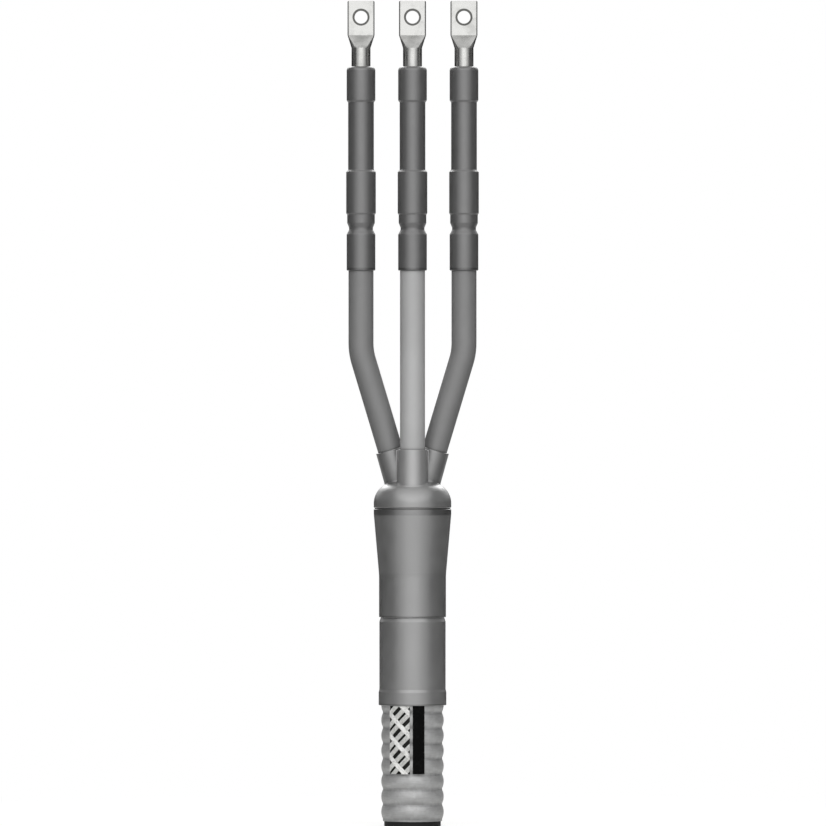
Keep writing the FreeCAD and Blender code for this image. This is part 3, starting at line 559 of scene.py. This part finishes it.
def makeBraidWires(look):
    low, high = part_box("bond_lead_skin")[0].z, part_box("sealing_sleeve")[0].z
    over = flatTow(look, -look["lean"])
    under = flatTow(look, look["lean"])
    laid = []
    for number in range(math.ceil((high - low) / look["period"]) + 1):
        crossing = high + look["firstCrossing"] - number * look["period"]
        second = crossing - look["secondTow"] * look["period"]
        laid.append(layTow(over, look, crossing, look["overRadius"], low, high))
        laid.append(layTow(under, look, crossing, look["underRadius"], low, high))
        laid.append(layTow(under, look, second, look["underRadius"], low, high))
    laid = [tow for tow in laid if tow]
    bpy.data.objects.remove(over)
    bpy.data.objects.remove(under)
    bpy.ops.object.select_all(action="DESELECT")
    for tow in laid:
        tow.select_set(True)
    bpy.context.view_layer.objects.active = laid[0]
    bpy.ops.object.join()
    wires = bpy.context.object
    wires.name = "ground_braid_wires"
    bpy.ops.object.shade_smooth_by_angle(angle=look["smoothAngle"])
    wires.data.materials.clear()
    wires.data.materials.append(makeBraidWire(braidLook))
    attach(wires, "root")
    return wires


wires = makeBraidWires(braidWires)
print("Braid wires laid,", len(wires.data.polygons), "faces")


# What lies inside, each in its own finish. Sizes, pitches and depths are in millimetres

def makePlain(name, look):
    # clouded colour with a grain, for the hidden layers
    material, tree, shader, place = startMaterial(name, look["roughness"], look.get("metallic", 0))
    pattern = cloud(tree, place, look["size"] * millimetre, 3, look.get("stretch", (1, 1, 1)))
    share = ramp(tree, pattern, shared["noiseLow"], shared["noiseHigh"])
    tree.links.new(blendColours(tree, share, look["dark"], look["light"]), shader.inputs["Base Color"])
    setHeight(tree, shader, [(pattern, look["depth"] * millimetre)])
    return material


lap = {"width": 0.06, "shade": 0.6}  # the dark edge of a wound tape, as a share of its pitch


def makeWound(name, look):
    # tape wound with a lap: a step once in each pitch, going up round the core
    material, tree, shader, place = startMaterial(name, look["roughness"], look.get("metallic", 0))
    x, y, z = axes(tree, place)
    turn = compute(tree, "DIVIDE", compute(tree, "ARCTAN2", y, x), 2 * math.pi)
    climb = compute(tree, "ADD", compute(tree, "DIVIDE", z, look["pitch"] * millimetre), turn)
    step = compute(tree, "FRACT", climb)
    tone = cloud(tree, place, look["size"] * millimetre, 3)
    colour = blendColours(tree, tone, look["dark"], look["light"])
    edge = ramp(tree, step, 0, lap["width"], lap["shade"], 0)
    colour = blendColours(tree, edge, colour, look["lapColour"])
    tree.links.new(colour, shader.inputs["Base Color"])
    weave = cloud(tree, place, look["size"] * millimetre / 4, 2)
    setHeight(tree, shader, [(step, look["step"] * millimetre), (weave, look["depth"] * millimetre)])
    return material


def makeStrands(name, look):
    # a bunch of round wires seen on the cut end, and running along the side
    material, tree, shader, place = startMaterial(name, look["roughness"], 1)
    along = addNode(tree, "Mapping", {"Vector": place, "Scale": (1, 1, 1 / look["stretch"])}).outputs[0]
    cells = addNode(tree, "TexVoronoi", {"Vector": along, "Scale": 1 / (look["wire"] * millimetre),
                                         "Randomness": look["randomness"]})
    # painted highlight on each wire's crown, painted shade between the wires
    crownHighlight = ramp(tree, cells.outputs["Distance"], *look["crownHighlight"], 1, 0)
    tree.links.new(blendColours(tree, crownHighlight, look["dark"], look["light"]), shader.inputs["Base Color"])
    setHeight(tree, shader, [(crownHighlight, look["depth"] * millimetre)])
    return material


# stranded copper, drawn: salmon, with a painted highlight on the wires' crowns and painted shade between
# them
dress(makeStrands("strandedCopper", {"dark": "5A2E1C", "light": "C98462", "roughness": 0.35, "wire": 2.3,
                                     "depth": 0.3, "stretch": 50, "randomness": 0.25,
                                     "crownHighlight": (0.1, 0.6)}),
      *onEachLeg("conductor"))
# semiconducting compound, extruded: dead black
dress(makePlain("semiconductingBlack", {"dark": "101011", "light": "1A1A1B", "roughness": 0.75,
                                        "size": 2, "depth": 0.05}),
      *onEachLeg("conductor_screen"), *onEachLeg("insulation_screen"))
# cross-linked polyethylene, scraped clean: milky white
dress(makePlain("naturalXlpe", {"dark": "DAD8CE", "light": "E8E6DD", "roughness": 0.4,
                                "size": 6, "depth": 0.03, "stretch": (3, 3, 1)}),
      *onEachLeg("insulation"))
# soft copper tape with a lap
dress(makeWound("copperTape", {"dark": "B4694A", "light": "CC8A68", "lapColour": "6E3A26",
                               "roughness": 0.32, "metallic": 1, "pitch": 24, "size": 8,
                               "step": 0.12, "depth": 0.02}),
      *onEachLeg("copper_tape"))
# high-permittivity stress control tube: black, smooth
dress(makePlain("stressControlBlack", {"dark": "161617", "light": "202021", "roughness": 0.5,
                                       "size": 9, "depth": 0.04}), *onEachLeg("stress_tube"))
# butyl mastic, pressed by hand: black, tacky, uneven
dress(makePlain("butylMastic", {"dark": "121213", "light": "1F1F20", "roughness": 0.62,
                                "size": 5, "depth": 0.35}),
      "mouth_mastic", "jacket_mastic", *onEachLeg("stress_mastic"), *onEachLeg("lug_mastic"))
# filling putty: grey clay with finger marks
dress(makePlain("fillingPutty", {"dark": "6A6964", "light": "7E7D77", "roughness": 0.8,
                                 "size": 7, "depth": 0.5}), "crotch_filler")
# self-amalgamating tape, wound half over itself
dress(makeWound("selfFusingTape", {"dark": "151516", "light": "1E1E1F", "lapColour": "060606",
                                   "roughness": 0.55, "pitch": 19, "size": 6, "step": 0.3,
                                   "depth": 0.04}), "buildup_tape")
# woven polyester binder, wound with a lap
dress(makeWound("wovenBinder", {"dark": "B9B4A4", "light": "CFCABB", "lapColour": "7D786A",
                                "roughness": 0.85, "pitch": 32, "size": 3, "step": 0.2,
                                "depth": 0.12}), "binder_tape")
# fibrillated polypropylene fillers, laid along the cores
dress(makePlain("polypropyleneFiller", {"dark": "A9A494", "light": "D2CDBD", "roughness": 0.7,
                                        "size": 0.9, "depth": 0.3, "stretch": (1, 1, 20)}),
      "filler_rope_1", "filler_rope_2", "filler_rope_3", "centre_filler")
# PVC inner jacket, extruded: black, low gloss, drawn lines along it
dress(makePlain("extrudedPvc", {"dark": "050505", "light": "0A0A0B", "roughness": 0.8,
                                "size": 2.2, "depth": 0.06, "stretch": (1, 1, 25)}), "inner_jacket")
# stainless spring strip, rolled: bright with lines along the strip
dress(makePlain("springSteel", {"dark": "9C9DA0", "light": "B9BABD", "roughness": 0.3, "metallic": 1,
                                "size": 0.7, "depth": 0.01, "stretch": (20, 20, 1)}),
      "armour_roll_spring", "screen_roll_spring")
print("Inner layers dressed")


# Floor, light and camera, in metres and degrees
studio = {
    "floorRadius": 0.8, "floorSides": 96, "floorColour": "F4F4F2", "floorBounce": "7A7A78",
    "floorRoughness": 0.9, "floorSpecular": 0.2, "floorWhite": 0.7, "nearRadius": 0.3, "farRadius": 0.75,
    "ambient": 0.04, "panelGloss": 0.2, "darkGloss": 0.02, "backGloss": 0.85,
    "frontPanel": (-0.85, 0.1), "backPanel": (0.4, 0.8), "levelStrip": (0.05, 0.3),
    "lamps": {
        # azimuth 0 is the camera's side and 90 is +X: strength, azimuth, elevation, softness
        "key": (0.46, 0, 0, 55), "wide": (1.38, 0, 4, 110), "high": (1.8, 0, 56, 95),
        "back": (2.3, 180, 45, 60),
        "fillLeft": (0.08, -100, 20, 40), "fillRight": (0.08, 100, 20, 40),
    },
    "lens": 400, "sensor": 36, "frameWidth": 0.826, "cameraAside": 0.0005, "clip": (0.1, 100),
}


def makeFloor(look):
    bpy.ops.object.select_all(action="DESELECT")
    bpy.ops.mesh.primitive_circle_add(vertices=look["floorSides"], radius=look["floorRadius"],
                                      fill_type="NGON")
    floor = bpy.context.object
    floor.name = "studio_floor"
    material, tree, shader, place = startMaterial("paperFloor", look["floorRoughness"], 0,
                                                look["floorSpecular"])
    rays = addNode(tree, "LightPath", {}).outputs
    seen = rays["Is Camera Ray"]
    for other in ("Is Glossy Ray", "Is Transmission Ray"):
        seen = compute(tree, "MAXIMUM", seen, rays[other])
    colour = blendColours(tree, seen, look["floorBounce"], look["floorColour"])
    tree.links.new(colour, shader.inputs["Base Color"])
    # white far out, and nearly white round the foot, where it still takes the shadow
    far = ramp(tree, radiusOf(tree, place), look["nearRadius"], look["farRadius"])
    near = compute(tree, "MULTIPLY", rays["Is Camera Ray"], look["floorWhite"])
    share = compute(tree, "MAXIMUM", compute(tree, "MULTIPLY", far, seen), near)
    white = addNode(tree, "Emission", {"Color": (1, 1, 1, 1), "Strength": 1}).outputs[0]
    mixed = addNode(tree, "MixShader", {0: share, 1: shader.outputs[0], 2: white}).outputs[0]
    tree.links.new(mixed, tree.nodes["Material Output"].inputs["Surface"])
    floor.data.materials.append(material)


def makeWorld(look):
    world = bpy.data.worlds.new("studio")
    bpy.context.scene.world = world
    world.use_nodes = True
    tree = world.node_tree
    tree.nodes.clear()
    rays = addNode(tree, "LightPath", {}).outputs
    # a broad pale panel on the camera's side, and at the back one above and one below the level of
    # the horizon, dark towards the sides
    depth, height = axes(tree, addNode(tree, "TexCoord", {}).outputs["Generated"])[1:]
    gloss = ramp(tree, depth, *look["frontPanel"], look["panelGloss"], look["darkGloss"])
    behind = ramp(tree, depth, *look["backPanel"], 0, look["backGloss"])
    offLevel = ramp(tree, compute(tree, "ABSOLUTE", height), *look["levelStrip"])
    gloss = compute(tree, "ADD", gloss, compute(tree, "MULTIPLY", behind, offLevel))
    reflected = compute(tree, "MAXIMUM", rays["Is Glossy Ray"], rays["Is Transmission Ray"])
    strength = look["ambient"]
    for share, other in ((reflected, gloss), (rays["Is Camera Ray"], 1.0)):
        strength = addNode(tree, "Mix", {0: share, 2: strength, 3: other}, data_type="FLOAT").outputs[0]
    light = addNode(tree, "Background", {"Color": (1, 1, 1, 1), "Strength": strength}).outputs[0]
    output = addNode(tree, "OutputWorld", {"Surface": light})
    output.is_active_output = True


def addSun(name, strength, azimuth, elevation, softness):
    # azimuth 0 shines from the camera's side, 90 from +X
    lamp = bpy.data.lights.new(name, "SUN")
    lamp.energy = strength
    lamp.angle = math.radians(softness)
    holder = bpy.data.objects.new(name, lamp)
    bpy.context.scene.collection.objects.link(holder)
    a, e = math.radians(azimuth), math.radians(elevation)
    towards = Vector((math.sin(a) * math.cos(e), -math.cos(a) * math.cos(e), math.sin(e)))
    holder.location = towards  # a sun shines the same from anywhere
    holder.rotation_mode = "QUATERNION"
    holder.rotation_quaternion = towards.to_track_quat("Z", "Y")


def makeCamera(look):
    # a long lens, square on, so that the frame is as wide as the drawing's 826 mm
    camera = bpy.data.cameras.new("camera")
    camera.lens, camera.sensor_width = look["lens"], look["sensor"]
    camera.clip_start, camera.clip_end = look["clip"]
    holder = bpy.data.objects.new("camera", camera)
    bpy.context.scene.collection.objects.link(holder)
    distance = look["frameWidth"] * look["lens"] / look["sensor"]
    holder.location = (look["cameraAside"], -distance, look["frameWidth"] / 2)
    holder.rotation_euler = (math.radians(90), 0, 0)
    bpy.context.scene.camera = holder


makeFloor(studio)
makeWorld(studio)
for name, settings in studio["lamps"].items():
    addSun(name, *settings)
makeCamera(studio)
bpy.context.scene.view_settings.view_transform = "Standard"
print("Studio ready")
